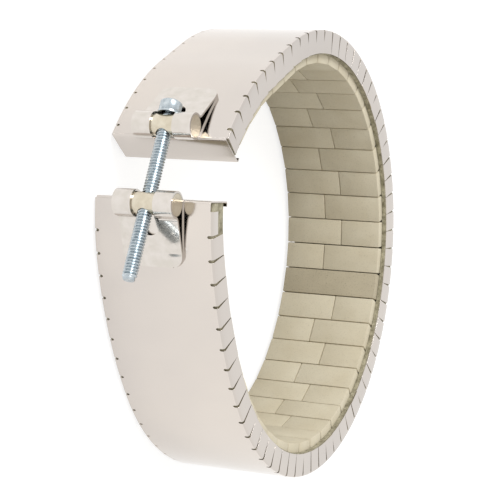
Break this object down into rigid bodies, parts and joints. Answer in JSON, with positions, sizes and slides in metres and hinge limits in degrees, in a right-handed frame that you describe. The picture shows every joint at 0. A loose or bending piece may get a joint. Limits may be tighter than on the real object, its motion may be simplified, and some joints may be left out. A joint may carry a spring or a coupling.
{
  "type": "band heater",
  "caption": "Open ring of ceramic heating bricks in a polished folded steel tray with slit rims, drawn together by a screw between two barrels in strap brackets.",
  "frame": {"origin": "centre of the round bore, half way along the band's width", "axes": "+Z along the bore, out of the rim that faces the viewer; +Y to the back of the band, where the terminals stand; the gap and the clamp are near -Y"},
  "size_m": [0.212, 0.2651, 0.0556],
  "materials": {
    "polished_sheet": "mirror polished stainless sheet with a soft warm tone",
    "fibre_blanket": "matt fibrous insulation",
    "cream_ceramic": "matt unglazed ceramic brick",
    "grey_ceramic": "matt unglazed ceramic, greyer than the rest",
    "polished_strap": "polished stainless strip",
    "plated_barrel": "bright plated round bar",
    "zinc_plate": "bluish zinc plate",
    "terminal_steel": "plain nickel plated steel",
    "bushing_ceramic": "smooth white ceramic"
  },
  "bodies": {
    "band": {"casing": "polished_sheet", "insulation_blanket": "fibre_blanket", "tile_course_01": "cream_ceramic", "tile_course_02": "cream_ceramic", "tile_course_03": "cream_ceramic", "tile_course_04": "cream_ceramic", "tile_course_05": "cream_ceramic", "tile_course_06": "cream_ceramic", "tile_course_07": "cream_ceramic", "tile_course_08": "cream_ceramic", "tile_course_09": "cream_ceramic", "tile_course_10": "cream_ceramic", "tile_course_11": "cream_ceramic", "tile_course_12": "cream_ceramic", "tile_course_13": "cream_ceramic", "tile_course_14": "cream_ceramic", "tile_course_15": "cream_ceramic", "tile_course_16": "cream_ceramic", "tile_course_17": "cream_ceramic", "tile_course_18": "cream_ceramic", "tile_course_19": "cream_ceramic", "tile_course_20": "cream_ceramic", "tile_course_21": "cream_ceramic", "tile_course_22": "grey_ceramic", "tile_course_23": "cream_ceramic", "tile_course_24": "cream_ceramic", "tile_course_25": "cream_ceramic", "tile_course_26": "cream_ceramic", "tile_course_27": "cream_ceramic", "tile_course_28": "cream_ceramic", "tile_course_29": "cream_ceramic", "tile_course_30": "cream_ceramic", "tile_course_31": "cream_ceramic", "tile_course_32": "cream_ceramic", "tile_course_33": "cream_ceramic", "tile_course_34": "cream_ceramic", "tile_course_35": "cream_ceramic", "tile_course_36": "cream_ceramic", "tile_course_37": "cream_ceramic", "tile_course_38": "cream_ceramic", "tile_course_39": "cream_ceramic", "tile_course_40": "cream_ceramic", "tile_course_41": "cream_ceramic", "strap_left": "polished_strap", "strap_right": "polished_strap", "plain_barrel": "plated_barrel", "threaded_barrel": "plated_barrel", "terminal_posts": "terminal_steel", "terminal_bushings": "bushing_ceramic", "terminal_washers": "terminal_steel", "terminal_nuts": "terminal_steel"},
    "washer": {"clamp_washer": "zinc_plate"},
    "screw": {"clamp_screw": "zinc_plate"}
  },
  "joints": [
    {"name": "washer_travel", "type": "slide", "parent": "band", "child": "washer", "axis": [-0.9811, 0.1934, 0], "range_m": [0, 0.0381]},
    {"name": "screw_turn", "type": "hinge", "parent": "washer", "child": "screw", "pos_m": [-0.03184, -0.12068, 0.0006], "axis": [-0.9811, 0.1934, 0], "range_deg": [0, 10802]}
  ],
  "couplings": [
    {"joint": "screw_turn", "follows": "washer_travel", "rad_per_m": 4947.4}
  ]
}
